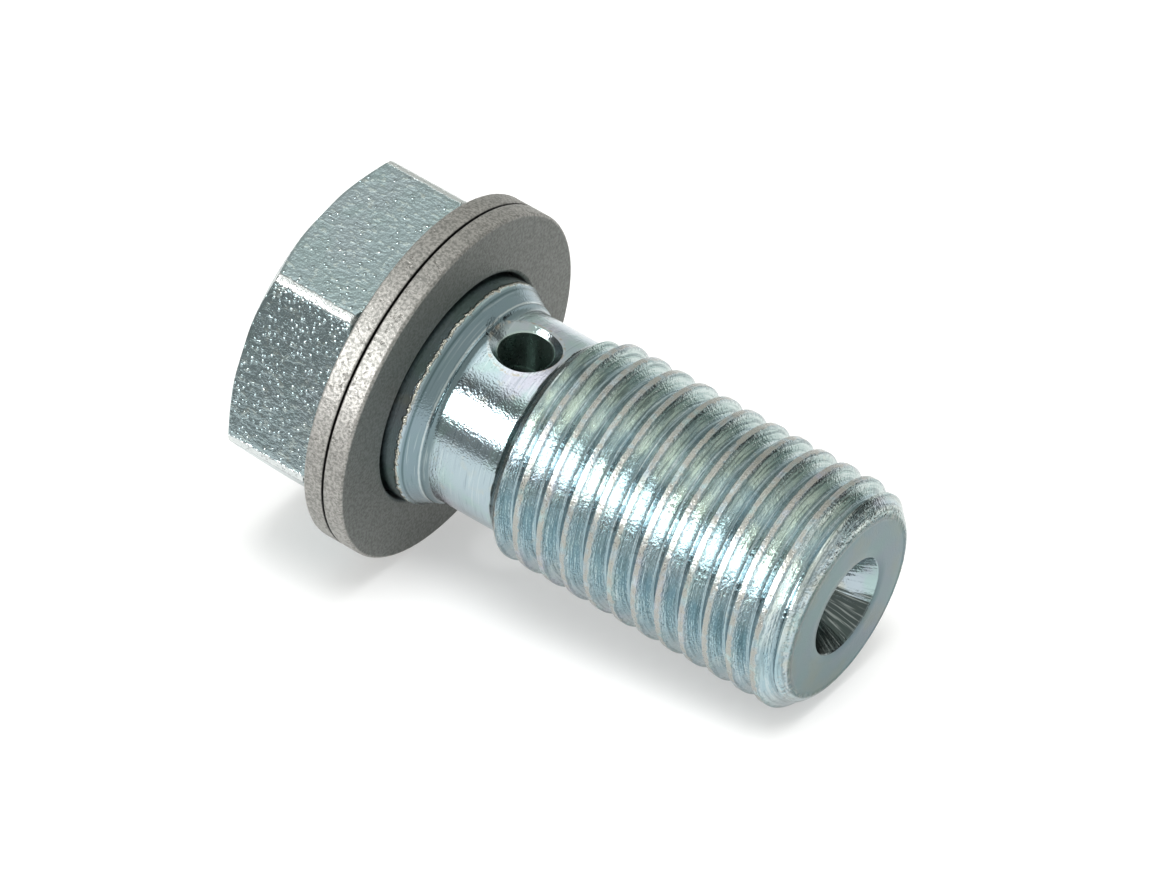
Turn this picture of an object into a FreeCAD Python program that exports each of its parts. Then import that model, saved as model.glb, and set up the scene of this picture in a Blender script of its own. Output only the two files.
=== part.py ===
import FreeCAD
import Part

import math
import os

from FreeCAD import Vector

# Banjo bolt with its two sealing washers, standing on the flat end of its head.
# The axis is +Z, from the head to the tip, and the ground is z = 0, under the head.
# A flat of the hexagon faces +X. Lengths are in millimetres and angles in degrees.

# Hexagon head, forged, with its corners sloped off above and below
HEAD_ACROSS_FLATS = 14.3
HEAD_HEIGHT = 5.0
HEAD_CORNER_RADIUS = 0.5
HEAD_TOP_FACE_DIAMETER = 14.5
HEAD_SEAT_DIAMETER = 15.1
HEAD_CHAMFER_ANGLE = 30.0

# Collar that centres the washers, then a taper and a small shoulder down to the neck
SHANK_LENGTH = 23.2
COLLAR_DIAMETER = 11.0
COLLAR_LENGTH = 2.8
COLLAR_EDGE_RADIUS = 0.3
COLLAR_TAPER_LENGTH = 0.9
SHOULDER_DIAMETER = 9.9
SHOULDER_EDGE_RADIUS = 0.06
SHOULDER_LENGTH = 0.15
NECK_FILLET_RADIUS = 0.3
NECK_DIAMETER = 9.5
NECK_LENGTH = 3.55

# Thread, 7/16 inch at 20 turns to the inch, right-handed
THREAD_DIAMETER = 10.9
THREAD_PITCH = 1.27
THREAD_FLANK_HALF_ANGLE = 30.0
THREAD_CREST_WIDTH = 0.28
THREAD_ROOT_WIDTH = 0.2
THREAD_CREST_TURN_AT_TIP = 80.0
THREAD_START_CHAMFER_ANGLE = 45.0
THREAD_TOOL_RISE = 0.12
TIP_CHAMFER = 0.9
TIP_EDGE_RADIUS = 0.7

# Drillings for the fluid: one up the axis from the tip, one right across the neck
AXIAL_BORE_DIAMETER = 3.0
AXIAL_BORE_PAST_CROSS_HOLE = 2.0
DRILL_POINT_ANGLE = 118.0
COUNTERSINK_DIAMETER = 4.8
COUNTERSINK_ANGLE = 60.0
CROSS_HOLE_DIAMETER = 2.5
CROSS_HOLE_FROM_TIP = 17.7
CROSS_HOLE_CHAMFER = 0.45
CROSS_HOLE_TURN = -8.0
TOOL_RUNOUT = 2.0

# Sealing washers, flat rings of soft aluminium with tumbled edges
WASHER_DIAMETER = 17.15
WASHER_THICKNESS = 1.05
WASHER_EDGE_RADIUS = 0.16
WASHER_BORE_CLEARANCE = 0.16

# Heights and radii that follow from the sizes above
SEAT_Z = HEAD_HEIGHT
TIP_Z = SEAT_Z + SHANK_LENGTH
COLLAR_END_Z = SEAT_Z + COLLAR_LENGTH
SHOULDER_Z = COLLAR_END_Z + COLLAR_TAPER_LENGTH
NECK_START_Z = SHOULDER_Z + SHOULDER_LENGTH
NECK_END_Z = NECK_START_Z + NECK_LENGTH
CROSS_HOLE_Z = TIP_Z - CROSS_HOLE_FROM_TIP
COLLAR_RADIUS = COLLAR_DIAMETER / 2
NECK_RADIUS = NECK_DIAMETER / 2
THREAD_RADIUS = THREAD_DIAMETER / 2
BORE_RADIUS = AXIAL_BORE_DIAMETER / 2
CROSS_HOLE_RADIUS = CROSS_HOLE_DIAMETER / 2
WASHER_BORE_RADIUS = max(COLLAR_RADIUS, THREAD_RADIUS) + WASHER_BORE_CLEARANCE

AXIS = Vector(0, 0, 1)
CENTRE = Vector(0, 0, 0)


def tangent(degrees):
    return math.tan(math.radians(degrees))


def outline(corners):
    """Closed wire through (point, radius) corners, each rounded to its radius."""
    stops = []
    for index, (corner, radius) in enumerate(corners):
        before = (corners[index - 1][0] - corner).normalize()
        after = (corners[(index + 1) % len(corners)][0] - corner).normalize()
        half_angle = before.getAngle(after) / 2
        if radius > 0:
            setback = radius / math.tan(half_angle)
            inward = (before + after).normalize()
            middle = corner + inward * (radius / math.sin(half_angle) - radius)
            stops.append((corner + before * setback, middle, corner + after * setback))
        else:
            stops.append((corner, None, corner))
    edges = []
    for index, (start, middle, end) in enumerate(stops):
        if middle is not None:
            edges.append(Part.Arc(start, middle, end).toShape())
        edges.append(Part.LineSegment(end, stops[(index + 1) % len(stops)][0]).toShape())
    return Part.Wire(edges)


def turned(profile):
    """Solid of revolution about the axis from (radius, height, corner radius) points."""
    corners = [(Vector(radius, 0, height), rounding) for radius, height, rounding in profile]
    return Part.Face(outline(corners)).revolve(CENTRE, AXIS, 360)


def hexagon_head():
    """Forged hexagon, kept inside a disc whose two rims slope off at the corners."""
    corner_distance = HEAD_ACROSS_FLATS / 2 / math.cos(math.radians(30))
    corners = []
    for index in range(6):
        angle = math.radians(30 + 60 * index)
        corner = Vector(math.cos(angle), math.sin(angle), 0) * corner_distance
        corners.append((corner, HEAD_CORNER_RADIUS))
    prism = Part.Face(outline(corners)).extrude(AXIS * HEAD_HEIGHT)
    reach = corner_distance + HEAD_CORNER_RADIUS
    slope = tangent(HEAD_CHAMFER_ANGLE)
    top_radius = HEAD_TOP_FACE_DIAMETER / 2
    seat_radius = HEAD_SEAT_DIAMETER / 2
    disc = turned([
        (0, 0, 0),
        (top_radius, 0, 0),
        (reach, (reach - top_radius) * slope, 0),
        (reach, HEAD_HEIGHT - (reach - seat_radius) * slope, 0),
        (seat_radius, HEAD_HEIGHT, 0),
        (0, HEAD_HEIGHT, 0),
    ])
    return prism.common(disc)


def shank_blank():
    """Turned shank before threading, rooted in the head."""
    chamfer_rise = (THREAD_RADIUS - NECK_RADIUS) * tangent(THREAD_START_CHAMFER_ANGLE)
    return turned([
        (0, HEAD_HEIGHT / 2, 0),
        (COLLAR_RADIUS, HEAD_HEIGHT / 2, 0),
        (COLLAR_RADIUS, COLLAR_END_Z, COLLAR_EDGE_RADIUS),
        (SHOULDER_DIAMETER / 2, SHOULDER_Z, SHOULDER_EDGE_RADIUS),
        (NECK_RADIUS, NECK_START_Z, NECK_FILLET_RADIUS),
        (NECK_RADIUS, NECK_END_Z, 0),
        (THREAD_RADIUS, NECK_END_Z + chamfer_rise, 0),
        (THREAD_RADIUS, TIP_Z - TIP_CHAMFER, 0),
        (THREAD_RADIUS - TIP_CHAMFER, TIP_Z, TIP_EDGE_RADIUS),
        (0, TIP_Z, 0),
    ])


def thread_groove():
    """V groove with a flat root, wound from the neck up past the tip."""
    flank_slope = tangent(THREAD_FLANK_HALF_ANGLE)
    groove_width = THREAD_PITCH - THREAD_CREST_WIDTH
    root_radius = THREAD_RADIUS - (groove_width - THREAD_ROOT_WIDTH) / 2 / flank_slope
    rim_radius = THREAD_RADIUS + THREAD_TOOL_RISE
    rim_width = groove_width + 2 * THREAD_TOOL_RISE * flank_slope
    end_z = TIP_Z + THREAD_PITCH * (1.5 - THREAD_CREST_TURN_AT_TIP / 360)
    turns = math.ceil((end_z - NECK_END_Z) / THREAD_PITCH + 0.5)
    start_z = end_z - turns * THREAD_PITCH
    section = outline([
        (Vector(rim_radius, 0, start_z + rim_width / 2), 0),
        (Vector(root_radius, 0, start_z + THREAD_ROOT_WIDTH / 2), 0),
        (Vector(root_radius, 0, start_z - THREAD_ROOT_WIDTH / 2), 0),
        (Vector(rim_radius, 0, start_z - rim_width / 2), 0),
    ])
    path = Part.makeLongHelix(THREAD_PITCH, turns * THREAD_PITCH, THREAD_RADIUS, 0)
    path.translate(AXIS * start_z)
    return Part.Wire(path).makePipeShell([section], True, True)


def axial_bore():
    """Blind bore from the tip, countersunk at its mouth and ending in a drill point."""
    floor_z = CROSS_HOLE_Z - AXIAL_BORE_PAST_CROSS_HOLE
    point_depth = BORE_RADIUS / tangent(DRILL_POINT_ANGLE / 2)
    mouth_slope = tangent(COUNTERSINK_ANGLE / 2)
    mouth_radius = COUNTERSINK_DIAMETER / 2
    return turned([
        (0, floor_z - point_depth, 0),
        (BORE_RADIUS, floor_z, 0),
        (BORE_RADIUS, TIP_Z - (mouth_radius - BORE_RADIUS) / mouth_slope, 0),
        (mouth_radius + TOOL_RUNOUT * mouth_slope, TIP_Z + TOOL_RUNOUT, 0),
        (0, TIP_Z + TOOL_RUNOUT, 0),
    ])


def cross_hole():
    """Hole right across the neck, chamfered at both mouths, as one cutting tool."""
    centre = AXIS * CROSS_HOLE_Z
    reach = NECK_RADIUS + TOOL_RUNOUT
    turn = math.radians(CROSS_HOLE_TURN)
    outward = Vector(math.cos(turn), math.sin(turn), 0)
    hole = Part.makeCylinder(CROSS_HOLE_RADIUS, 2 * reach, centre - outward * reach, outward)
    rim_radius = CROSS_HOLE_RADIUS + CROSS_HOLE_CHAMFER
    chamfers = []
    for side in (outward, outward * -1):
        foot = centre + side * (NECK_RADIUS - rim_radius)
        chamfers.append(Part.makeCone(0, rim_radius + TOOL_RUNOUT, rim_radius + TOOL_RUNOUT, foot, side))
    return hole.multiFuse(chamfers)


def hollow_bolt():
    bolt = shank_blank().cut(thread_groove())
    bolt = bolt.fuse(hexagon_head())
    return bolt.cut([axial_bore(), cross_hole()])


def sealing_washer(back_z):
    """Flat ring that lies with its back at the given height."""
    outer_radius = WASHER_DIAMETER / 2
    front_z = back_z + WASHER_THICKNESS
    return turned([
        (WASHER_BORE_RADIUS, back_z, WASHER_EDGE_RADIUS),
        (outer_radius, back_z, WASHER_EDGE_RADIUS),
        (outer_radius, front_z, WASHER_EDGE_RADIUS),
        (WASHER_BORE_RADIUS, front_z, WASHER_EDGE_RADIUS),
    ])


NODES = {
    "hollow_bolt": hollow_bolt(),
    "rear_washer": sealing_washer(SEAT_Z),
    "front_washer": sealing_washer(SEAT_Z + WASHER_THICKNESS),
}

os.makedirs("parts", exist_ok=True)
for name, shape in NODES.items():
    solid = shape.removeSplitter()
    solid.exportStep("parts/" + name + ".step")
    print(name, "solids", len(solid.Solids), "faces", len(solid.Faces), "valid", solid.isValid())
    print("  volume", round(solid.Volume, 2))
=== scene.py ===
import math

import bmesh
import bpy
from mathutils import Matrix, Vector


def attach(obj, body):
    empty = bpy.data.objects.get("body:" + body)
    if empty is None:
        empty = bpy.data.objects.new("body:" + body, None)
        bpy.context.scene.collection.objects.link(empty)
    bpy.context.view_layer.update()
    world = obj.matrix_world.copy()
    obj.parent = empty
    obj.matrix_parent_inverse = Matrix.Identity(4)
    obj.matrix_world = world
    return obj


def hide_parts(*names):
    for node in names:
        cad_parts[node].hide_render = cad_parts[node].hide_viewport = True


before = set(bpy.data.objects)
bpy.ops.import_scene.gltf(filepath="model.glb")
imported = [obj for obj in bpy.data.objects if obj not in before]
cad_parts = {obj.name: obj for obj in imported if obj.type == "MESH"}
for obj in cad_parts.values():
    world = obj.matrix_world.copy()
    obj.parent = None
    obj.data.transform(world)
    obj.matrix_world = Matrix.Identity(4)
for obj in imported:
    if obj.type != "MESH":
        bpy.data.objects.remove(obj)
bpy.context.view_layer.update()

# The bolt: one piece of steel, forged to a hexagon, turned, and its thread rolled.
# Every section across it is read at steps of azimuth around the axis. In the thread the rows
# of the mesh wind up with the crests, and they start and end in a wedge one pitch high.
MILLIMETRE = 0.001
HEAD_ACROSS_FLATS = 14.3
HEAD_HEIGHT = 5.0
HEAD_CORNER_RADIUS = 0.5
HEAD_TOP_FACE_RADIUS = 7.25
HEAD_SEAT_RADIUS = 7.55
HEAD_CHAMFER_SLOPE = math.tan(math.radians(30))
HEAD_EDGE_WEAR = 0.12
HALF_FLAT_TURN = 30.0
NECK_RADIUS = 4.75
NECK_END_Z = 12.4
CROSS_HOLE_Z = 10.5
CROSS_HOLE_RADIUS = 1.25
CROSS_HOLE_CHAMFER = 0.45
CROSS_HOLE_TURN = -8.0
CROSS_HOLE_SIDE = (0.1392, 0.9903)
BORE_RADIUS = 1.5
PITCH = 1.27
CREST_WIDTH = 0.28
THREAD_RADIUS = 5.45
CREST_TURN_AT_TIP = 80.0
FLANK_SLOPE = math.tan(math.radians(30))
POINT_START_Z = 27.3
POINT_ROUND_Z = 27.95
POINT_CENTRE = (4.26, 27.5)
POINT_ROUNDING = 0.7
TIP_Z = 28.2
THREAD_END_Z = 28.0
HELIX_TURNS = 12
COLUMNS = 216
WELD = 0.00005


def arc(centre, radius, start, end, count):
    """Points along an arc of the turned profile, angles in degrees."""
    points = []
    for step in range(count + 1):
        angle = math.radians(start + (end - start) * step / count)
        points.append((centre[0] + radius * math.cos(angle), centre[1] + radius * math.sin(angle)))
    return points


def smooth_min(a, b, blend):
    """The smaller of two radii, with the corner between them worn round."""
    overlap = max(blend - abs(a - b), 0) / blend
    return min(a, b) - overlap * overlap * blend / 4


def hexagon_radius(degrees):
    """Distance from the axis to the hexagon, its corners rounded."""
    apothem = HEAD_ACROSS_FLATS / 2
    off_flat = (degrees + HALF_FLAT_TURN) % (2 * HALF_FLAT_TURN) - HALF_FLAT_TURN
    off_corner = math.radians(HALF_FLAT_TURN - abs(off_flat))
    corner_centre = (apothem - HEAD_CORNER_RADIUS) / math.cos(math.radians(HALF_FLAT_TURN))
    across = corner_centre * math.sin(off_corner)
    bulge = math.sqrt(max(HEAD_CORNER_RADIUS ** 2 - across ** 2, 0))
    on_arc = corner_centre * math.cos(off_corner) + bulge
    flat = apothem / math.cos(math.radians(off_flat))
    return min(flat, on_arc) if across < HEAD_CORNER_RADIUS / 2 else flat


def head_rows(degrees):
    """Rows from the pole of the end face, over the chamfers and the flat, to the collar."""
    hexagon = hexagon_radius(degrees)
    low = max((hexagon - HEAD_TOP_FACE_RADIUS) * HEAD_CHAMFER_SLOPE, 0)
    high = HEAD_HEIGHT - max((hexagon - HEAD_SEAT_RADIUS) * HEAD_CHAMFER_SLOPE, 0)
    end_radius = min(hexagon, HEAD_TOP_FACE_RADIUS)
    seat_radius = min(hexagon, HEAD_SEAT_RADIUS)
    rows = [(0, 0), (end_radius * 0.5, 0), (end_radius * 0.9, 0)]
    heights = [0, low * 0.4, low * 0.8, low]
    for part in (0.012, 0.03, 0.06, 0.2, 0.5, 0.8, 0.94, 0.97, 0.988):
        heights.append(low + (high - low) * part)
    heights += [high, high + (HEAD_HEIGHT - high) * 0.4, HEAD_HEIGHT]
    for height in heights:
        lower_cone = HEAD_TOP_FACE_RADIUS + height / HEAD_CHAMFER_SLOPE
        upper_cone = HEAD_SEAT_RADIUS + (HEAD_HEIGHT - height) / HEAD_CHAMFER_SLOPE
        radius = smooth_min(hexagon, lower_cone, HEAD_EDGE_WEAR)
        rows.append((smooth_min(radius, upper_cone, HEAD_EDGE_WEAR), height))
    rows.append((seat_radius * 0.9, HEAD_HEIGHT))
    return rows


COLLAR_AND_NECK = [(5.5, 5.0), (5.5, 6.4), (5.5, 7.3)]
COLLAR_AND_NECK += arc((5.2, 7.72), 0.3, 0, 31, 4)
COLLAR_AND_NECK += [(5.32, 8.05), (5.15, 8.35), (5.02, 8.58), (4.96, 8.68)]
COLLAR_AND_NECK += arc((5.05, 9.05), 0.3, 250, 180, 5)
COLLAR_AND_NECK += [(NECK_RADIUS, height) for height in (9.3, 9.8, 10.3, 10.8, 11.2)]
POINT_AND_DRILLING = arc(POINT_CENTRE, POINT_ROUNDING, 42, 90, 6)
POINT_AND_DRILLING += [(3.6, TIP_Z), (2.9, TIP_Z), (2.46, TIP_Z), (2.4, 28.17), (2.38, 28.12)]
POINT_AND_DRILLING += [(1.95, 27.42), (1.55, 26.72)]
for height in (26.6, 24.0, 20.0, 16.0, 13.0, 11.9, 10.5, 9.1, 8.5):
    POINT_AND_DRILLING.append((BORE_RADIUS, height))
POINT_AND_DRILLING.append((0, 7.6))

CREST_STEPS = [0.0, 0.09, 0.13, 0.16, 0.2, 0.27, 0.37, 0.47, 0.52, 0.57]
PITCH_STEPS = [-step for step in reversed(CREST_STEPS[1:])] + CREST_STEPS + [PITCH / 2]


def blank_radius(height):
    """Turned shank before threading: the neck, its chamfer, the major diameter, the point."""
    above_centre = max(height - POINT_CENTRE[1], 0)
    point_arc = POINT_CENTRE[0] + math.sqrt(max(POINT_ROUNDING ** 2 - above_centre ** 2, 0))
    point_cone = THREAD_RADIUS - (height - POINT_START_Z)
    point = min(point_cone, point_arc) if height > POINT_ROUND_Z else point_cone
    chamfer = max(NECK_RADIUS, NECK_RADIUS + height - NECK_END_Z)
    return min(chamfer, THREAD_RADIUS, point)


def thread_rows(turn_part):
    """Rows that wind with the crests, for one column at this part of a full turn."""
    start = THREAD_END_Z - (HELIX_TURNS + 1) * PITCH
    crest = TIP_Z + PITCH * (HALF_FLAT_TURN - CREST_TURN_AT_TIP) / 360
    phases = sorted(((crest - start + step) / PITCH) % 1 for step in PITCH_STEPS)
    heights = [start] + [start + PITCH * turn_part * phase for phase in phases]
    for turn in range(HELIX_TURNS):
        heights += [start + PITCH * (turn_part + turn + phase) for phase in phases]
    last = start + PITCH * (turn_part + HELIX_TURNS)
    heights += [last + PITCH * (1 - turn_part) * phase for phase in phases] + [THREAD_END_Z]
    return [(blank_radius(height), height) for height in heights]


def bolt_rows(turn_part):
    """The azimuth of one column and its rows of (radius, height), from pole to pole."""
    degrees = HALF_FLAT_TURN + 360 * turn_part
    shank = COLLAR_AND_NECK + thread_rows(turn_part) + POINT_AND_DRILLING
    return degrees, head_rows(degrees) + shank


def spun(name, columns, weld):
    """A closed object round the axis, from columns of (azimuth, rows)."""
    skin = bmesh.new()
    previous = None
    for degrees, rows in columns:
        angle = math.radians(degrees)
        current = [skin.verts.new((r * math.cos(angle), r * math.sin(angle), h)) for r, h in rows]
        if previous:
            for row in range(len(rows) - 1):
                corners = previous[row], current[row], current[row + 1], previous[row + 1]
                skin.faces.new(corners)
        previous = current
    bmesh.ops.remove_doubles(skin, verts=skin.verts, dist=weld)
    bmesh.ops.recalc_face_normals(skin, faces=skin.faces)
    mesh = bpy.data.meshes.new(name)
    skin.to_mesh(mesh)
    skin.free()
    holder = bpy.data.objects.new(name, mesh)
    bpy.context.collection.objects.link(holder)
    return holder


blank = spun("bolt_blank", [bolt_rows(column / COLUMNS) for column in range(COLUMNS + 1)], WELD)


def value_chain(tree, steps):
    """Nodes from (name, operation, inputs), where an input is a number, a socket or a name."""
    made = {}
    for name, operation, *inputs in steps:
        if operation == "RISE":
            node = tree.nodes.new("ShaderNodeMapRange")
            node.interpolation_type = "SMOOTHSTEP"
        else:
            node = tree.nodes.new("ShaderNodeMath")
            node.operation = operation
        node.label = name
        for socket, given in zip(node.inputs, inputs):
            given = made.get(given, given) if isinstance(given, str) else given
            if isinstance(given, (int, float)):
                socket.default_value = given
            else:
                tree.links.new(given, socket)
        made[name] = node.outputs[0]
    return made


def noise(tree, place, scale, detail=2.0, roughness=0.5):
    """Noise over a place in millimetres, so many grains to the millimetre."""
    node = tree.nodes.new("ShaderNodeTexNoise")
    tree.links.new(place, node.inputs["Vector"])
    node.inputs["Scale"].default_value = scale
    node.inputs["Detail"].default_value = detail
    node.inputs["Roughness"].default_value = roughness
    return node.outputs[0]


def joined(tree, x, y, z):
    """A vector from three sockets."""
    node = tree.nodes.new("ShaderNodeCombineXYZ")
    for socket, given in zip(node.inputs, (x, y, z)):
        tree.links.new(given, socket)
    return node.outputs[0]


def painted(tree, under, layers):
    """Colour with each (mask, colour) of the layers laid over the last."""
    for mask, colour in layers:
        node = tree.nodes.new("ShaderNodeMix")
        node.data_type = "RGBA"
        tree.links.new(mask, node.inputs[0])
        for socket, given in ((node.inputs[6], under), (node.inputs[7], colour)):
            if isinstance(given, tuple):
                socket.default_value = (*given, 1)
            else:
                tree.links.new(given, socket)
        under = node.outputs[2]
    return under


def millimetres(tree):
    """Object coordinates in millimetres, whole and in three parts."""
    coordinates = tree.nodes.new("ShaderNodeTexCoord")
    scaled = tree.nodes.new("ShaderNodeVectorMath")
    scaled.operation = "SCALE"
    scaled.inputs["Scale"].default_value = 1000
    tree.links.new(coordinates.outputs["Object"], scaled.inputs[0])
    parts = tree.nodes.new("ShaderNodeSeparateXYZ")
    tree.links.new(scaled.outputs[0], parts.inputs[0])
    return scaled.outputs[0], *parts.outputs


def metal(name):
    """A bare metal and the tree and shader that its finish is built in."""
    material = bpy.data.materials.new(name)
    material.use_nodes = True
    shader = material.node_tree.nodes["Principled BSDF"]
    shader.inputs["Metallic"].default_value = 1.0
    return material, material.node_tree, shader


def raised(tree, height, shader):
    """Relief from a height in millimetres."""
    relief = tree.nodes.new("ShaderNodeBump")
    relief.inputs["Strength"].default_value = 1.0
    relief.inputs["Distance"].default_value = MILLIMETRE
    tree.links.new(height, relief.inputs["Height"])
    tree.links.new(relief.outputs[0], shader.inputs["Normal"])


# Its finish is zinc plate with a blue passivate over the marks of the making: forging scale on
# the hexagon, turning marks on the neck, rolling marks on the flanks, worn and dulled crests.
# Some tones here are painted light and shade. Painted reflections tint the flanks by the side they
# face. Painted shade darkens the thread's roots, the taper, the fillet, the crests' sides and the
# end face. Painted light brightens the drillings.
BLUE_GREY = (0.38, 0.47, 0.51)
SEA_GREEN = (0.36, 0.48, 0.48)
VIOLET = (0.44, 0.45, 0.52)
STRAW = (0.46, 0.47, 0.40)
FORGED = (0.29, 0.365, 0.375)
FLANK = (0.50, 0.57, 0.585)
# Painted reflection: a darker, bluer tone on the flanks of the thread's lower side.
FLANK_PAINTED_BLUE_REFLECTION = (0.21, 0.39, 0.455)
# Partly a random olive tint, partly painted reflection: lighter and greener on the thread's upper
# side.
FLANK_OLIVE_AND_PAINTED_REFLECTION = (0.72, 0.79, 0.72)
# Painted dark reflection: a darker teal on the flanks of the thread's upper side.
FLANK_PAINTED_DARK_REFLECTION = (0.18, 0.29, 0.29)
# Painted shade: the bottom of the thread's groove is coloured darker than the flanks.
ROOT_PAINTED_SHADE = (0.27, 0.37, 0.41)
# Painted shade: the dark tone of the taper under the collar, standing in for its dark reflection.
CONE_PAINTED_SHADE = (0.17, 0.24, 0.27)
# Painted shade: the dark band in the fillet where the taper runs into the neck.
FILLET_PAINTED_SHADE = (0.13, 0.18, 0.19)
WORN_CREST = (0.37, 0.365, 0.33)
WORN_EDGE = (0.82, 0.83, 0.82)
FORGING_FLECK = (0.62, 0.70, 0.66)
# Dark turning and rolling scratches, a dark line along the taper, and the painted shade beside the
# crests.
SCRATCH_AND_SHADE_DARK = (0.07, 0.12, 0.13)
# Pale turning and rolling scratches, a pale line on the shoulder edge, and painted glints in the
# countersink.
SCRATCH_AND_GLINT_PALE = (0.68, 0.74, 0.73)
# Painted shade: the tip's end face is coloured much darker, for the shadowed surface it mirrors.
END_FACE_PAINTED_SHADE = (0.055, 0.118, 0.12)
END_VIOLET = (0.15, 0.165, 0.22)
END_STRAW = (0.16, 0.19, 0.15)
CHIPPED_RIM = (0.52, 0.52, 0.46)
CHIP_DARK = (0.10, 0.11, 0.10)
HOLE_EDGE = (0.40, 0.39, 0.35)
# Painted light: a lighter tone inside the cross hole and the axial bore.
DRILLING_PAINTED_LIGHT = (0.50, 0.62, 0.58)
SHADED_DRILLING = (0.045, 0.06, 0.055)
SHADED_SIDE = (-0.996, 0.087)
COLLAR_EDGE_Z = 7.77
TAPER_LINE_Z = 8.03
SHOULDER_Z = 8.655

zinc, tree, zinc_shader = metal("zinc_plated_steel")
place, x, y, z = millimetres(tree)
made = value_chain(tree, [
    ("xx", "MULTIPLY", x, x),
    ("rr", "MULTIPLY_ADD", y, y, "xx"),
    ("radius", "SQRT", "rr"),
    ("turn", "ARCTAN2", y, x),
    ("side x", "DIVIDE", x, "radius"),
    ("side y", "DIVIDE", y, "radius"),
    ("turn part", "DIVIDE", "turn", 2 * math.pi),
    ("wound", "SUBTRACT", "turn part", CREST_TURN_AT_TIP / 360),
    ("below", "SUBTRACT", z, TIP_Z),
    ("pitches", "DIVIDE", "below", PITCH),
    ("phase", "SUBTRACT", "pitches", "wound"),
    ("wave", "PINGPONG", "phase", 0.5),
    ("from crest", "MULTIPLY", "wave", PITCH),
    ("across groove", "MULTIPLY", "from crest", 15.0),
    ("groove and turn", "MULTIPLY_ADD", z, 0.8, "across groove"),
    ("around x", "MULTIPLY", "side x", 2.2),
    ("around y", "MULTIPLY", "side y", 2.2),
    ("turned z", "MULTIPLY", z, 11.0),
    ("drill x", "MULTIPLY", "side x", 9.0),
    ("drill y", "MULTIPLY", "side y", 9.0),
    ("drill z", "MULTIPLY", z, 0.6),
    ("ray x", "MULTIPLY", "side x", 24.0),
    ("ray y", "MULTIPLY", "side y", 24.0),
    ("sector x", "MULTIPLY", "side x", SHADED_SIDE[0]),
    ("sector", "MULTIPLY_ADD", "side y", SHADED_SIDE[1], "sector x"),
    ("fleck x", "MULTIPLY", x, 4.2),
    ("fleck y", "MULTIPLY", y, 4.2),
    ("fleck z", "MULTIPLY", z, 2.6),
    ("hole z", "SUBTRACT", z, CROSS_HOLE_Z),
    ("hole zz", "MULTIPLY", "hole z", "hole z"),
    ("hole x", "MULTIPLY", x, CROSS_HOLE_SIDE[0]),
    ("hole across", "MULTIPLY_ADD", y, CROSS_HOLE_SIDE[1], "hole x"),
    ("hole square", "MULTIPLY_ADD", "hole across", "hole across", "hole zz"),
    ("from hole", "SQRT", "hole square"),
    ("corner turn", "SUBTRACT", "turn", math.radians(HALF_FLAT_TURN)),
    ("from corner", "PINGPONG", "corner turn", math.radians(HALF_FLAT_TURN)),
])
rolled = joined(tree, made["around x"], made["around y"], made["groove and turn"])
turned = joined(tree, made["around x"], made["around y"], made["turned z"])
drilled = joined(tree, made["drill x"], made["drill y"], made["drill z"])
rayed = joined(tree, made["ray x"], made["ray y"], made["drill z"])
forged = joined(tree, made["fleck x"], made["fleck y"], made["fleck z"])
streaks = noise(tree, rolled, 1.0, 3.0, 0.6)
turning = noise(tree, turned, 1.0, 2.0)
chatter = noise(tree, drilled, 1.0, 1.0)
rays = noise(tree, rayed, 1.0, 2.0)
flecks = noise(tree, forged, 1.0, 3.0, 0.55)
clouds = noise(tree, place, 0.22, 2.0)
tint = noise(tree, place, 0.6, 3.0)
blotch = noise(tree, place, 1.7, 3.0)
grain = noise(tree, place, 10.0, 2.0)
chips = noise(tree, place, 4.0, 2.0, 0.6)
scale_cells = tree.nodes.new("ShaderNodeTexVoronoi")
tree.links.new(place, scale_cells.inputs["Vector"])
scale_cells.inputs["Scale"].default_value = 3.8
cell_colour = tree.nodes.new("ShaderNodeSeparateColor")
tree.links.new(scale_cells.outputs["Color"], cell_colour.inputs[0])
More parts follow.
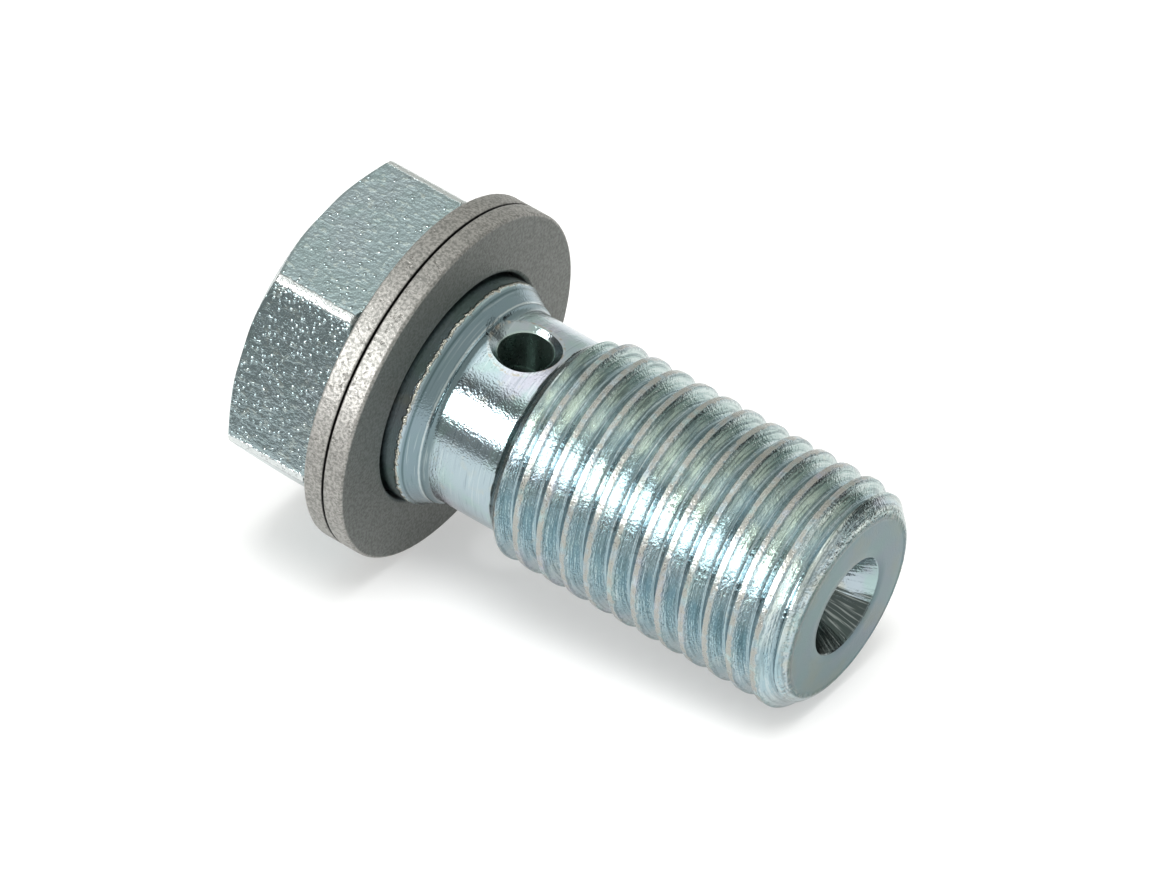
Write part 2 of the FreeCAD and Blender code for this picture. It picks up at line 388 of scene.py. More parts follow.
made.update(value_chain(tree, [
    ("past head", "RISE", z, HEAD_HEIGHT - 0.05, HEAD_HEIGHT),
    ("on head", "SUBTRACT", 1.0, "past head"),
    ("past neck", "RISE", z, NECK_END_Z - 0.1, NECK_END_Z + 0.1),
    ("outer", "RISE", made["radius"], 4.25, 4.4),
    ("thread", "MULTIPLY", "past neck", "outer"),
    ("flank reach", "RISE", made["from crest"], 0.1, 0.3),
    ("flank", "MULTIPLY", "flank reach", "thread"),
    ("ragged crest", "MULTIPLY_ADD", chips, -0.26, made["from crest"]),
    ("off crest", "RISE", "ragged crest", -0.03, 0.035),
    ("on crest", "SUBTRACT", 1.0, "off crest"),
    ("before point", "RISE", z, 27.85, 27.5),
    ("crest in thread", "MULTIPLY", "on crest", "before point"),
    ("crest", "MULTIPLY", "crest in thread", "thread"),
    # Painted shade: a dark line along each side of the crests.
    ("beside crest", "RISE", "ragged crest", 0.0, 0.03),
    ("beside crest end", "RISE", "ragged crest", 0.09, 0.05),
    ("crest shade there", "MULTIPLY", "beside crest", "beside crest end"),
    ("crest shade", "MULTIPLY", "crest shade there", "thread"),
    ("collar edge far", "SUBTRACT", z, COLLAR_EDGE_Z),
    ("collar edge off", "ABSOLUTE", "collar edge far"),
    ("collar ragged", "MULTIPLY_ADD", chips, -0.42, "collar edge off"),
    ("collar edge gone", "RISE", "collar ragged", -0.18, -0.11),
    ("collar edge", "SUBTRACT", 1.0, "collar edge gone"),
    ("shoulder far", "SUBTRACT", z, SHOULDER_Z),
    ("shoulder off", "ABSOLUTE", "shoulder far"),
    ("shoulder ragged", "MULTIPLY_ADD", chips, -0.06, "shoulder off"),
    ("shoulder gone", "RISE", "shoulder ragged", -0.01, 0.02),
    ("shoulder there", "SUBTRACT", 1.0, "shoulder gone"),
    ("shoulder edge", "MULTIPLY", "shoulder there", 0.45),
    ("corner ragged", "MULTIPLY_ADD", chips, -0.03, made["from corner"]),
    ("corner gone", "RISE", "corner ragged", 0.006, 0.018),
    ("corner there", "SUBTRACT", 1.0, "corner gone"),
    ("corner on head", "MULTIPLY", "corner there", "on head"),
    ("far out", "RISE", made["radius"], 7.55, 7.85),
    ("corner at side", "MULTIPLY", "corner on head", "far out"),
    ("corner", "MULTIPLY", "corner at side", 0.6),
    ("fleck there", "RISE", flecks, 0.57, 0.63),
    ("fleck", "MULTIPLY", "fleck there", "on head"),
    # Painted shade: the taper between the collar and the neck is coloured dark.
    ("on cone low", "RISE", z, 7.85, 7.95),
    ("on cone high", "RISE", z, 9.2, 8.9),
    ("cone", "MULTIPLY", "on cone low", "on cone high"),
    ("dark line", "RISE", streaks, 0.55, 0.585),
    ("thread dark line", "MULTIPLY", "dark line", "thread"),
    ("pale line", "RISE", streaks, 0.44, 0.405),
    ("thread pale line", "MULTIPLY", "pale line", "thread"),
    ("off head and thread", "SUBTRACT", "past head", "past neck"),
    ("turned dark there", "RISE", turning, 0.58, 0.70),
    ("turned dark", "MULTIPLY", "turned dark there", "off head and thread"),
    ("turned pale there", "RISE", turning, 0.42, 0.32),
    ("turned pale", "MULTIPLY", "turned pale there", "off head and thread"),
    # Painted shade: the thread's root is coloured darker than the flanks.
    ("root reach", "RISE", made["from crest"], 0.42, 0.56),
    ("root", "MULTIPLY", "root reach", "thread"),
    # Painted shade: the fillet at the foot of the neck is coloured darker.
    ("fillet low", "RISE", z, 8.68, 8.76),
    ("fillet high", "RISE", z, 9.25, 8.95),
    ("fillet", "MULTIPLY", "fillet low", "fillet high"),
    ("fillet part", "MULTIPLY", "fillet", 0.6),
    ("mouth in", "RISE", made["from hole"], 1.27, 1.32),
    ("mouth out", "RISE", made["from hole"], 1.76, 1.70),
    ("mouth ring", "MULTIPLY", "mouth in", "mouth out"),
    ("near neck", "RISE", z, 8.7, 8.8),
    ("neck top", "RISE", z, NECK_END_Z, NECK_END_Z - 0.1),
    ("mouth low", "MULTIPLY", "mouth ring", "near neck"),
    ("mouth skin", "RISE", made["radius"], 3.9, 4.1),
    ("mouth high", "MULTIPLY", "mouth low", "neck top"),
    ("mouth", "MULTIPLY", "mouth high", "mouth skin"),
    ("mouth edge place", "RISE", made["from hole"], 1.56, 1.64),
    ("mouth chipped", "RISE", chips, 0.48, 0.60),
    ("mouth edge there", "MULTIPLY", "mouth edge place", "mouth"),
    ("mouth edge", "MULTIPLY", "mouth edge there", "mouth chipped"),
    ("cone line far", "SUBTRACT", z, TAPER_LINE_Z),
    ("cone line off", "ABSOLUTE", "cone line far"),
    ("cone line", "RISE", "cone line off", 0.055, 0.025),
    # Painted shade on the tip's end face; the violet and straw clouds over it are tints of the
    # plating.
    ("at end", "RISE", z, TIP_Z - 0.07, TIP_Z - 0.02),
    ("in bore", "RISE", made["radius"], 2.44, 2.36),
    ("past head bore", "GREATER_THAN", z, 7.0),
    ("bore wall", "MULTIPLY", "in bore", "past head bore"),
    # Painted light: the insides of the axial bore and the cross hole are coloured lighter.
    ("deep bore", "RISE", made["radius"], 1.56, 1.5),
    ("deep", "MULTIPLY", "deep bore", "past head bore"),
    ("by hole", "RISE", made["from hole"], 1.34, 1.27),
    ("under neck", "RISE", made["radius"], 4.72, 4.55),
    ("in hole", "MULTIPLY", "by hole", "under neck"),
    ("dark hole", "MAXIMUM", "in hole", "deep"),
    ("rim low", "RISE", z, 27.75, 28.0),
    ("rim ring", "RISE", made["radius"], 4.15, 4.4),
    ("rim ragged", "RISE", chips, 0.52, 0.62),
    ("rim pitted", "RISE", chips, 0.44, 0.36),
    ("sector rays", "MULTIPLY_ADD", rays, 0.9, made["sector"]),
    ("sector ragged", "MULTIPLY_ADD", chatter, 0.9, "sector rays"),
    ("sector dark", "RISE", "sector ragged", 1.30, 1.42),
    # Painted highlight: pale rays over the countersink's painted shade.
    ("ray light", "RISE", rays, 0.55, 0.66),
    ("countersink shade", "MULTIPLY", "sector dark", "bore wall"),
    ("rim place", "MULTIPLY", "rim low", "rim ring"),
    ("rim", "MULTIPLY", "rim place", "rim ragged"),
    ("violet cloud", "RISE", clouds, 0.52, 0.70),
    ("straw cloud", "RISE", tint, 0.60, 0.74),
    ("straw part", "MULTIPLY", "straw cloud", 0.6),
    ("green cloud", "RISE", tint, 0.52, 0.36),
    ("spots", "RISE", blotch, 0.64, 0.72),
    ("spot part", "MULTIPLY", "spots", 0.3),
    ("flank part", "MULTIPLY", "flank", 0.7),
    ("fleck part", "MULTIPLY", "fleck", 0.38),
    # The olive tint on the flanks is partly random and partly painted reflection, gathered on the
    # upper side.
    ("olive side x", "MULTIPLY", made["side x"], 0.13),
    ("olive side", "MULTIPLY_ADD", made["side y"], -0.16, "olive side x"),
    ("olive place", "ADD", tint, "olive side"),
    ("olive cloud", "RISE", "olive place", 0.46, 0.68),
    ("olive flank", "MULTIPLY", "olive cloud", "flank"),
    ("olive part", "MULTIPLY", "olive flank", 0.8),
    # Painted dark reflection: the flanks on the upper side are coloured darker teal by the side
    # they face.
    ("teal side", "RISE", "olive side", 0.16, 0.20),
    ("teal flank", "MULTIPLY", "teal side", "flank"),
    ("teal part", "MULTIPLY", "teal flank", 0.7),
    # Painted reflection: the flanks on the lower side are coloured darker and bluer by the side
    # they face, with a random edge.
    ("blue place", "MULTIPLY_ADD", tint, 0.5, made["side y"]),
    ("blue side", "RISE", "blue place", 1.10, 1.26),
    ("blue flank", "MULTIPLY", "blue side", "flank"),
    ("blue part", "MULTIPLY", "blue flank", 0.5),
    ("crest worn", "RISE", blotch, 0.30, 0.56),
    ("crest left", "MULTIPLY", "crest", "crest worn"),
    ("crest part", "MULTIPLY", "crest left", 0.85),
    ("crest shade part", "MULTIPLY", "crest shade", 0.4),
    ("rim dark there", "MULTIPLY", "rim place", "rim pitted"),
    ("rim dark", "MULTIPLY", "rim dark there", 0.45),
    ("mouth part", "MULTIPLY", "mouth", 0.15),
    ("ray shade", "MULTIPLY", "ray light", "countersink shade"),
    ("ray part", "MULTIPLY", "ray shade", 0.35),
    ("root part", "MULTIPLY", "root", 0.8),
    ("end part", "MULTIPLY", "at end", 0.8),
    ("end violet place", "RISE", clouds, 0.44, 0.62),
    ("end violet", "MULTIPLY", "end violet place", "at end"),
    ("end violet part", "MULTIPLY", "end violet", 0.4),
    ("end straw place", "RISE", tint, 0.46, 0.64),
    ("end straw", "MULTIPLY", "end straw place", "at end"),
    ("end straw part", "MULTIPLY", "end straw", 0.4),
    ("rim part", "MULTIPLY", "rim", 0.3),
    ("cone line part", "MULTIPLY", "cone line", 0.7),
    ("forged part", "MULTIPLY", "on head", 0.85),
    ("cone part", "MULTIPLY", "cone", 0.85),
    # The dark rolling lines are drawn stronger where the olive painted reflection lies.
    ("line on olive", "MULTIPLY_ADD", "olive cloud", 0.25, 0.32),
    ("dark line part", "MULTIPLY", "thread dark line", "line on olive"),
    ("pale line part", "MULTIPLY", "thread pale line", 0.35),
    ("turned dark part", "MULTIPLY", "turned dark", 0.28),
    ("turned pale part", "MULTIPLY", "turned pale", 0.18),
    ("countersink part", "MULTIPLY", "countersink shade", 0.9),
]))
tree.links.new(painted(tree, BLUE_GREY, [
    (made["violet cloud"], VIOLET),
    (made["green cloud"], SEA_GREEN),
    (made["straw part"], STRAW),
    (made["forged part"], FORGED),
    (made["flank part"], FLANK),
    (made["olive part"], FLANK_OLIVE_AND_PAINTED_REFLECTION),
    (made["teal part"], FLANK_PAINTED_DARK_REFLECTION),
    (made["blue part"], FLANK_PAINTED_BLUE_REFLECTION),
    (made["root part"], ROOT_PAINTED_SHADE),
    (made["spot part"], STRAW),
    (made["cone part"], CONE_PAINTED_SHADE),
    (made["cone line part"], SCRATCH_AND_SHADE_DARK),
    (made["fillet part"], FILLET_PAINTED_SHADE),
    (made["fleck part"], FORGING_FLECK),
    (made["turned dark part"], SCRATCH_AND_SHADE_DARK),
    (made["turned pale part"], SCRATCH_AND_GLINT_PALE),
    (made["dark line part"], SCRATCH_AND_SHADE_DARK),
    (made["pale line part"], SCRATCH_AND_GLINT_PALE),
    (made["crest shade part"], SCRATCH_AND_SHADE_DARK),
    (made["end part"], END_FACE_PAINTED_SHADE),
    (made["end violet part"], END_VIOLET),
    (made["end straw part"], END_STRAW),
    (made["crest part"], WORN_CREST),
    (made["rim part"], CHIPPED_RIM),
    (made["rim dark"], CHIP_DARK),
    (made["mouth part"], WORN_EDGE),
    (made["mouth edge"], HOLE_EDGE),
    (made["collar edge"], CHIPPED_RIM),
    (made["shoulder edge"], SCRATCH_AND_GLINT_PALE),
    (made["corner"], WORN_EDGE),
    (made["dark hole"], DRILLING_PAINTED_LIGHT),
    (made["countersink part"], SHADED_DRILLING),
    (made["ray part"], SCRATCH_AND_GLINT_PALE),
]), zinc_shader.inputs["Base Color"])
made.update(value_chain(tree, [
    ("smooth", "MULTIPLY_ADD", grain, 0.12, 0.08),
    ("duller head", "MULTIPLY_ADD", made["on head"], 0.06, "smooth"),
    ("duller flank", "MULTIPLY_ADD", made["flank"], -0.05, "duller head"),
    ("duller crest", "MULTIPLY_ADD", made["crest"], 0.14, "duller flank"),
    ("duller edge", "MULTIPLY_ADD", made["collar edge"], 0.04, "duller crest"),
    ("duller corner", "MULTIPLY_ADD", made["corner"], 0.1, "duller edge"),
    ("duller end", "MULTIPLY_ADD", made["at end"], 0.16, "duller corner"),
    ("duller rim", "MULTIPLY_ADD", made["rim"], 0.12, "duller end"),
    ("roughness", "MULTIPLY_ADD", made["dark hole"], 0.15, "duller rim"),
]))
tree.links.new(made["roughness"], zinc_shader.inputs["Roughness"])
made.update(value_chain(tree, [
    ("bump far", "RISE", scale_cells.outputs["Distance"], 0.34, 0.10),
    ("bump kept", "GREATER_THAN", cell_colour.outputs[0], 0.15),
    ("forged bump", "MULTIPLY", "bump far", "bump kept"),
    ("forged height", "MULTIPLY", "forged bump", 0.034),
    ("fleck height", "MULTIPLY_ADD", flecks, 0.04, "forged height"),
    ("scale height", "MULTIPLY_ADD", blotch, 0.012, "fleck height"),
    ("corner height", "MULTIPLY", chips, made["corner"]),
    ("edged height", "MULTIPLY_ADD", "corner height", 0.1, "scale height"),
    ("head height", "MULTIPLY", "edged height", made["on head"]),
    ("rolled chips", "MULTIPLY_ADD", chips, 1.0, streaks),
    ("rolled grain", "MULTIPLY_ADD", grain, 0.3, "rolled chips"),
    ("streak height", "MULTIPLY", "rolled grain", 0.03),
    ("thread height", "MULTIPLY_ADD", "streak height", made["thread"], "head height"),
    ("turned height", "MULTIPLY_ADD", turning, 0.003, "thread height"),
    ("grain height", "MULTIPLY_ADD", grain, 0.013, "turned height"),
    ("chatter height", "MULTIPLY", chatter, 0.05),
    ("bore height", "MULTIPLY_ADD", "chatter height", made["bore wall"], "grain height"),
    ("chip height", "MULTIPLY", chips, 0.1),
    ("rim height", "MULTIPLY_ADD", "chip height", made["rim place"], "bore height"),
    ("height", "MULTIPLY_ADD", "chip height", made["collar edge"], "rim height"),
]))
raised(tree, made["height"], zinc_shader)

# Its thread is pressed into the turned blank, with the root rolled round and the crests worn.
thread_tree = bpy.data.node_groups.new("Roll Thread", "GeometryNodeTree")
sockets = thread_tree.interface
sockets.new_socket("Geometry", in_out="INPUT", socket_type="NodeSocketGeometry")
for label, value in (
    ("Pitch", PITCH),
    ("Crest Radius", THREAD_RADIUS),
    ("Crest Width", CREST_WIDTH),
    ("Root Radius", 4.766),
    ("Crest Height", TIP_Z),
    ("Crest Turn", CREST_TURN_AT_TIP),
    ("Thread Start", 12.38),
    ("Corner Wear", 0.05),
    ("Root Wear", 0.3),
):
    socket = sockets.new_socket(label, in_out="INPUT", socket_type="NodeSocketFloat")
    socket.default_value = value
finish_socket = sockets.new_socket("Finish", in_out="INPUT", socket_type="NodeSocketMaterial")
sockets.new_socket("Geometry", in_out="OUTPUT", socket_type="NodeSocketGeometry")
nodes = thread_tree.nodes
links = thread_tree.links
given = nodes.new("NodeGroupInput")
size = {socket.name: socket for socket in given.outputs}
position = nodes.new("GeometryNodeInputPosition")
parts = nodes.new("ShaderNodeSeparateXYZ")
links.new(position.outputs[0], parts.inputs[0])
x, y, z = parts.outputs
made = value_chain(thread_tree, [
    ("xx", "MULTIPLY", x, x),
    ("rr", "MULTIPLY_ADD", y, y, "xx"),
    ("radius", "SQRT", "rr"),
    ("turn", "ARCTAN2", y, x),
    ("turn part", "DIVIDE", "turn", 2 * math.pi),
    ("crest part", "DIVIDE", size["Crest Turn"], 360),
    ("wound", "SUBTRACT", "turn part", "crest part"),
    ("below", "SUBTRACT", z, size["Crest Height"]),
    ("pitches", "DIVIDE", "below", size["Pitch"]),
    ("phase", "SUBTRACT", "pitches", "wound"),
    ("wave", "PINGPONG", "phase", 0.5),
    ("from crest", "MULTIPLY", "wave", size["Pitch"]),
    ("half crest", "MULTIPLY", size["Crest Width"], 0.5),
    ("down flank", "SUBTRACT", "from crest", "half crest"),
    ("fall", "DIVIDE", "down flank", FLANK_SLOPE),
    ("flank", "SUBTRACT", size["Crest Radius"], "fall"),
    ("groove", "SMOOTH_MAX", "flank", size["Root Radius"], size["Root Wear"]),
    ("rolled", "SMOOTH_MIN", "groove", "radius", size["Corner Wear"]),
    ("in thread", "GREATER_THAN", z, size["Thread Start"]),
    ("outside", "GREATER_THAN", "radius", 4.2),
    ("moves", "MULTIPLY", "in thread", "outside"),
    ("scale", "DIVIDE", "rolled", "radius"),
])
flat_place = nodes.new("ShaderNodeVectorMath")
flat_place.operation = "MULTIPLY"
links.new(position.outputs[0], flat_place.inputs[0])
across = nodes.new("ShaderNodeCombineXYZ")
links.new(made["scale"], across.inputs[0])
links.new(made["scale"], across.inputs[1])
across.inputs[2].default_value = 1
links.new(across.outputs[0], flat_place.inputs[1])
press = nodes.new("GeometryNodeSetPosition")
links.new(size["Geometry"], press.inputs["Geometry"])
links.new(made["moves"], press.inputs["Selection"])
links.new(flat_place.outputs[0], press.inputs["Position"])
made_real = nodes.new("GeometryNodeRealizeInstances")
links.new(press.outputs[0], made_real.inputs["Geometry"])
plated = nodes.new("GeometryNodeSetMaterial")
links.new(made_real.outputs[0], plated.inputs["Geometry"])
links.new(size["Finish"], plated.inputs["Material"])
result = nodes.new("NodeGroupOutput")
links.new(plated.outputs[0], result.inputs[0])

# The drillings: the axial one is turned with the profile, and the cross hole is cut right
# through the neck here, with a chamfer at both mouths.
DRILL_COLUMNS = 64
DRILL_REACH = 7.0
DRILL_WELD = 0.0001
SHARP_FROM = 32
chamfer_foot = NECK_RADIUS - CROSS_HOLE_CHAMFER
chamfer_radius = CROSS_HOLE_RADIUS + DRILL_REACH - chamfer_foot
drill_rows = [
    (0, -DRILL_REACH),
    (chamfer_radius, -DRILL_REACH),
    (CROSS_HOLE_RADIUS, -chamfer_foot),
    (CROSS_HOLE_RADIUS, chamfer_foot),
    (chamfer_radius, DRILL_REACH),
    (0, DRILL_REACH),
]
across_neck = Matrix.Translation((0, 0, CROSS_HOLE_Z))
across_neck @= Matrix.Rotation(math.radians(CROSS_HOLE_TURN), 4, "Z")
across_neck @= Matrix.Rotation(math.radians(90), 4, "Y")
drill_columns = [(360 * step / DRILL_COLUMNS, drill_rows) for step in range(DRILL_COLUMNS + 1)]
cross_drill = spun("cross_drill", drill_columns, DRILL_WELD)
cross_drill.data.transform(across_neck)

roll = blank.modifiers.new("Roll Thread", "NODES")
roll.node_group = thread_tree
roll[finish_socket.identifier] = zinc
bore = blank.modifiers.new("Cross Hole", "BOOLEAN")
bore.object = cross_drill
bore.operation = "DIFFERENCE"
bore.solver = "MANIFOLD"
bpy.context.view_layer.update()
evaluated = blank.evaluated_get(bpy.context.evaluated_depsgraph_get())
finished = bpy.data.meshes.new_from_object(evaluated)
finished.name = "hollow_bolt_dressed"
finished.transform(Matrix.Scale(MILLIMETRE, 4))
finished.shade_smooth()
finished.set_sharp_from_angle(angle=math.radians(SHARP_FROM))
bpy.data.objects.remove(blank)
bpy.data.objects.remove(cross_drill)
bolt = bpy.data.objects.new("hollow_bolt_dressed", finished)
bpy.context.collection.objects.link(bolt)
finished.materials.clear()
finished.materials.append(zinc)
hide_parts("hollow_bolt")
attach(bolt, "root")

# The two sealing washers: flat rings stamped from soft aluminium and tumbled, so that they
# are matte, finely grainy and round at the edges. They lie loose on the collar.
RIM_GREY = (0.42, 0.41, 0.39)
FACE_GREY = (0.225, 0.235, 0.225)
RIM_GRAIN = (0.32, 0.31, 0.295)
PATCH_GREY = (0.25, 0.255, 0.24)
FACE_GRAIN = (0.13, 0.135, 0.125)
PIT_GREY = (0.16, 0.155, 0.14)
# Painted shade: the near-black line in the crevice where the two washers meet.
JOINT_PAINTED_SHADE = (0.012, 0.012, 0.012)
JOINT_Z = 6.05
alloy, tree, alloy_shader = metal("tumbled_aluminium")
place, x, y, z = millimetres(tree)
tumbling = noise(tree, place, 7.5, 4.0, 0.65)
pitting = noise(tree, place, 3.0, 3.0, 0.6)
patches = noise(tree, place, 0.5, 2.0)
made = value_chain(tree, [
    ("xx", "MULTIPLY", x, x),
    ("rr", "MULTIPLY_ADD", y, y, "xx"),
    ("radius", "SQRT", "rr"),
    ("face", "RISE", "radius", 8.50, 8.40),
    ("side", "RISE", "radius", 8.40, 8.50),
    ("pits", "RISE", pitting, 0.60, 0.68),
    ("rim pits", "MULTIPLY", "pits", "side"),
    ("pit part", "MULTIPLY", "rim pits", 0.5),
    # Painted shade: a near-black band where the two washers meet.
    ("from joint", "SUBTRACT", z, JOINT_Z),
    ("off joint", "ABSOLUTE", "from joint"),
    ("joint", "RISE", "off joint", 0.085, 0.045),
    ("grey part", "RISE", patches, 0.3, 0.7),
    ("grey shift", "MULTIPLY", "grey part", 0.25),
    ("grain part", "RISE", tumbling, 0.35, 0.75),
    ("grain shift", "MULTIPLY", "grain part", 0.45),
    ("face grain", "RISE", tumbling, 0.40, 0.62),
    ("face grain part", "MULTIPLY", "face grain", 0.6),
    ("roughness", "MULTIPLY_ADD", tumbling, 0.25, 0.42),
    ("face roughness", "MULTIPLY_ADD", "face", 0.08, "roughness"),
    ("grain height", "MULTIPLY", tumbling, 0.028),
    ("pit height", "MULTIPLY_ADD", "rim pits", -0.02, "grain height"),
])
tree.links.new(painted(tree, RIM_GREY, [
    (made["grain shift"], RIM_GRAIN),
    (made["face"], FACE_GREY),
    (made["grey shift"], PATCH_GREY),
    (made["face grain part"], FACE_GRAIN),
    (made["pit part"], PIT_GREY),
    (made["joint"], JOINT_PAINTED_SHADE),
]), alloy_shader.inputs["Base Color"])
tree.links.new(made["face roughness"], alloy_shader.inputs["Roughness"])
raised(tree, made["pit height"], alloy_shader)
for name in ("rear_washer", "front_washer"):
    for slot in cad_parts[name].material_slots:
        slot.material = alloy

# The table: the white sheet under the bolt in the photograph, and the room round it. The
# bolt stands on its head in its own frame, so the table stands beside it and leans until it
# touches the front washer and the last crest, as when the bolt lies on it.
TABLE_TURN = 166.7
WASHER_RIM = (8.415, 6.94)
RIM_ROUNDING = 0.16
LAST_CREST = (THREAD_RADIUS, POINT_START_Z)
TABLE_REACH = 1.5
PAPER_WHITE = (0.92, 0.92, 0.92)
SEEN_WHITE_PART = 0.40
run = LAST_CREST[1] - WASHER_RIM[1]
drop = WASHER_RIM[0] - LAST_CREST[0]
lean = math.atan2(drop, run) + math.asin(RIM_ROUNDING / math.hypot(run, drop))
away = Vector((-math.cos(math.radians(TABLE_TURN)), -math.sin(math.radians(TABLE_TURN)), 0))
table_up = away * math.cos(lean) - Vector((0, 0, 1)) * math.sin(lean)
table_along = away * math.sin(lean) + Vector((0, 0, 1)) * math.cos(lean)
table_across = table_up.cross(table_along)
touch = Vector((0, 0, LAST_CREST[1])) - away * LAST_CREST[0]
on_table = Matrix.Translation(touch * MILLIMETRE) @ Matrix((
    (table_along.x, table_across.x, table_up.x, 0),
    (table_along.y, table_across.y, table_up.y, 0),
    (table_along.z, table_across.z, table_up.z, 0),
    (0, 0, 0, 1),
))
table_corners = [
    (-TABLE_REACH, -TABLE_REACH, 0),
    (TABLE_REACH, -TABLE_REACH, 0),
    (TABLE_REACH, TABLE_REACH, 0),
    (-TABLE_REACH, TABLE_REACH, 0),
]
table_mesh = bpy.data.meshes.new("table")
table_mesh.from_pydata(table_corners, [], [(0, 1, 2, 3)])
table = bpy.data.objects.new("table", table_mesh)
table.matrix_world = on_table
bpy.context.collection.objects.link(table)
# The sheet is seen white and still takes the bolt's shadow. Its back lets the camera through.
paper = bpy.data.materials.new("white_paper")
paper.use_nodes = True
tree = paper.node_tree
matte = tree.nodes["Principled BSDF"]
matte.inputs["Base Color"].default_value = (*PAPER_WHITE, 1)
matte.inputs["Roughness"].default_value = 0.9
matte.inputs["Specular IOR Level"].default_value = 0.0
white = tree.nodes.new("ShaderNodeEmission")
clear = tree.nodes.new("ShaderNodeBsdfTransparent")
path = tree.nodes.new("ShaderNodeLightPath")
side_seen = tree.nodes.new("ShaderNodeNewGeometry")
seen = value_chain(tree, [
    ("camera or gloss", "MAXIMUM", path.outputs["Is Camera Ray"], path.outputs["Is Glossy Ray"]),
    ("any", "MAXIMUM", "camera or gloss", path.outputs["Is Transmission Ray"]),
    ("part", "MULTIPLY", "any", SEEN_WHITE_PART),
])
shown = tree.nodes.new("ShaderNodeMixShader")
tree.links.new(seen["part"], shown.inputs[0])
tree.links.new(matte.outputs[0], shown.inputs[1])
tree.links.new(white.outputs[0], shown.inputs[2])
both_sides = tree.nodes.new("ShaderNodeMixShader")
tree.links.new(side_seen.outputs["Backfacing"], both_sides.inputs[0])
tree.links.new(shown.outputs[0], both_sides.inputs[1])
tree.links.new(clear.outputs[0], both_sides.inputs[2])
tree.links.new(both_sides.outputs[0], tree.nodes["Material Output"].inputs["Surface"])
table_mesh.materials.append(paper)

# The light: a softbox low on the left draws the long highlight along the neck and the thread,
# and dark cards, seen in the shine alone, give it its dark edge. A ceiling panel and an even
# pale room do the rest, and a lamp overhead lights the sheet alone, for a close shadow.
ROOM_COLOUR = (0.75, 0.755, 0.72)
CLOTH_ROUGHNESS = 0.9
room = bpy.data.worlds.new("room")
bpy.context.scene.world = room
room.use_nodes = True
room.node_tree.nodes["Background"].inputs["Color"].default_value = (*ROOM_COLOUR, 1)
room.node_tree.nodes["Background"].inputs["Strength"].default_value = 1.0


def towards(azimuth, elevation):
    """The direction at this azimuth and elevation, in degrees."""
    side, lift = math.radians(azimuth), math.radians(elevation)
    outward = math.cos(lift)
    return Vector((outward * math.cos(side), outward * math.sin(side), math.sin(lift)))


def facing_bolt(azimuth, elevation, distance):
    """A place over the table that looks at the bolt."""
    outward = towards(azimuth, elevation)
    facing = outward.to_track_quat("Z", "Y").to_matrix().to_4x4()
    return on_table @ Matrix.Translation(outward * distance) @ facing


def panel(name, place, width, height, radiance, mirrored=True, on_sheet=True):
    """A flat lamp that is seen or not in the shine, and lights the sheet or not."""
    lamp = bpy.data.lights.new(name, "AREA")
    lamp.shape = "RECTANGLE"
    lamp.size = width
    lamp.size_y = height
    lamp.energy = radiance * math.pi * width * height
    holder = bpy.data.objects.new(name, lamp)
    holder.matrix_world = place
    holder.visible_glossy = mirrored
    holder.visible_diffuse = on_sheet
    bpy.context.collection.objects.link(holder)


def card(name, corners, place, grey):
    """A dark card that is seen in the shine alone."""
    cloth = bpy.data.materials.new(name)
    cloth.use_nodes = True
    weave = cloth.node_tree.nodes["Principled BSDF"]
    weave.inputs["Base Color"].default_value = (grey, grey, grey, 1)
    weave.inputs["Roughness"].default_value = CLOTH_ROUGHNESS
    mesh = bpy.data.meshes.new(name)
    mesh.from_pydata(corners, [], [(0, 1, 2, 3)])
    mesh.materials.append(cloth)
    holder = bpy.data.objects.new(name, mesh)
    holder.matrix_world = place
    holder.visible_camera = False
    holder.visible_shadow = False
    holder.visible_diffuse = False
    bpy.context.collection.objects.link(holder)


def standing_card(name, azimuth, distance, before, after, bottom, top, grey):
    """A card upright on the table, square to its azimuth, with a reach to either side."""
    foot = towards(azimuth, 0) * distance
    along = towards(azimuth + 90, 0)
    start, end = foot - along * before, foot + along * after
    corners = []
    for corner, lift in ((start, bottom), (end, bottom), (end, top), (start, top)):
        corners.append(corner + Vector((0, 0, lift)))
    card(name, corners, on_table, grey)


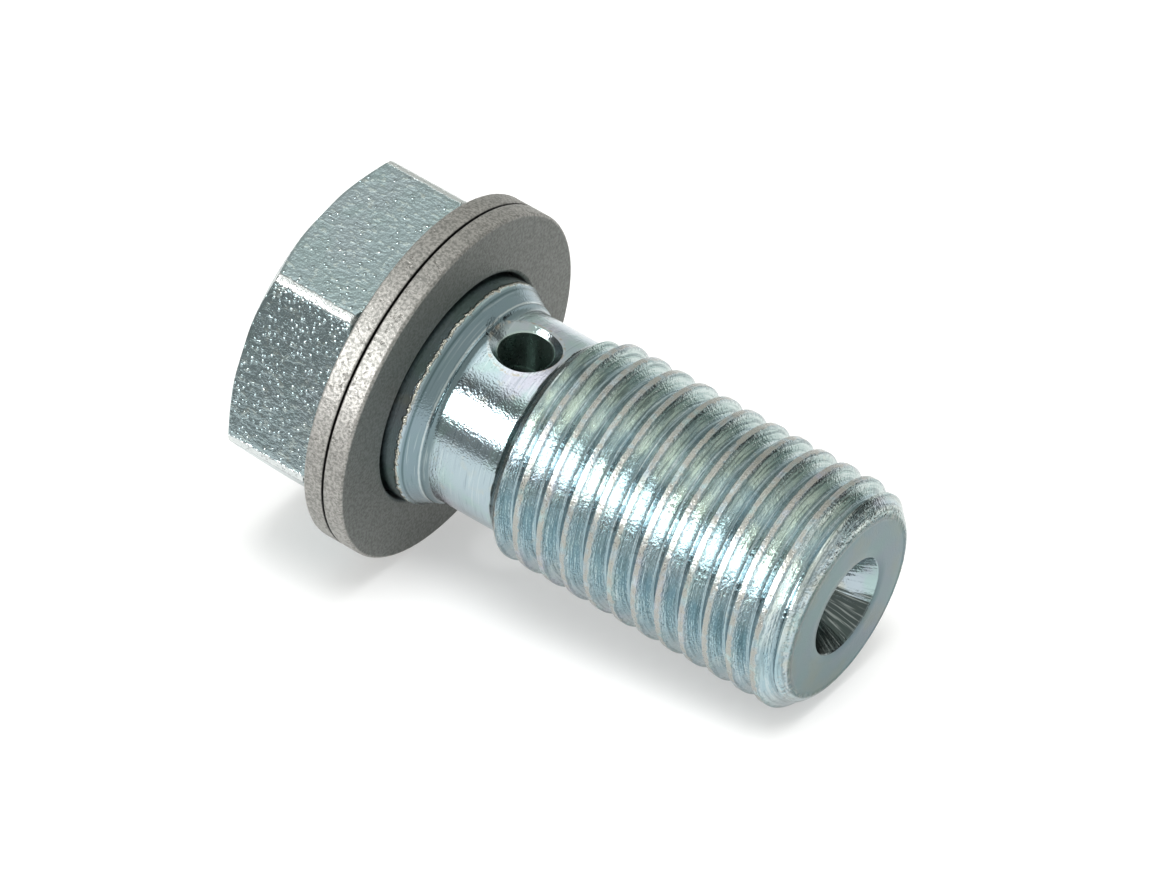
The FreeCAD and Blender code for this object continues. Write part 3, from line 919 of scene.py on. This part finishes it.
panel("softbox", facing_bolt(-119, 28.5, 0.8), width=0.58, height=0.28, radiance=15.5,
      on_sheet=False)
panel("ceiling", facing_bolt(-120, 83, 0.9), width=0.66, height=0.66, radiance=1.0)
panel("overhead", facing_bolt(-54, 75, 1.0), width=0.5, height=0.5, radiance=10.5,
      mirrored=False)
upper = [(-0.3, -0.15, 0), (0.3, -0.15, 0), (0.3, 0.12, 0), (-0.3, 0.12, 0)]
card("upper_card", upper, facing_bolt(-115, 49, 0.8), grey=0.10)
standing_card("side_card_low", azimuth=52, distance=0.045, before=0.013, after=0.013,
              bottom=0, top=0.028, grey=0.02)
standing_card("side_card_high", azimuth=52, distance=0.045, before=0.013, after=0.013,
              bottom=0.028, top=0.046, grey=0.16)
standing_card("low_card", azimuth=-144.4, distance=0.054, before=0.07, after=0.12,
              bottom=0.0018, top=0.0253, grey=0.24)

# The camera: a long lens at the photograph's angle, rolled until the bolt's axis runs down
# to the right. The middle of the tip's face lies at one pixel of the photograph.
PHOTO_SIZE = (1150, 876)
TIP_PIXEL = (847.9, 606.8)
FOCAL_PIXELS = 9000
TIP_DISTANCE = 0.3905
CAMERA_AZIMUTH = 32.2
CAMERA_ELEVATION = 22.2
CAMERA_ROLL = 119.37
SENSOR_WIDTH = 36
camera_data = bpy.data.cameras.new("camera")
camera_data.sensor_fit = "HORIZONTAL"
camera_data.sensor_width = SENSOR_WIDTH
camera_data.lens = FOCAL_PIXELS / PHOTO_SIZE[0] * SENSOR_WIDTH
camera_data.clip_start = 0.01
camera_data.clip_end = 20
backward = towards(CAMERA_AZIMUTH, CAMERA_ELEVATION)
facing = backward.to_track_quat("Z", "Y").to_matrix()
facing @= Matrix.Rotation(math.radians(CAMERA_ROLL), 3, "Z")
right_of_middle = (TIP_PIXEL[0] - PHOTO_SIZE[0] / 2) / FOCAL_PIXELS * TIP_DISTANCE
below_middle = (TIP_PIXEL[1] - PHOTO_SIZE[1] / 2) / FOCAL_PIXELS * TIP_DISTANCE
from_camera = facing @ Vector((right_of_middle, -below_middle, -TIP_DISTANCE))
camera = bpy.data.objects.new("camera", camera_data)
camera.location = Vector((0, 0, TIP_Z * MILLIMETRE)) - from_camera
camera.rotation_euler = facing.to_euler()
bpy.context.collection.objects.link(camera)
bpy.context.scene.camera = camera
bpy.context.scene.view_settings.view_transform = "Standard"
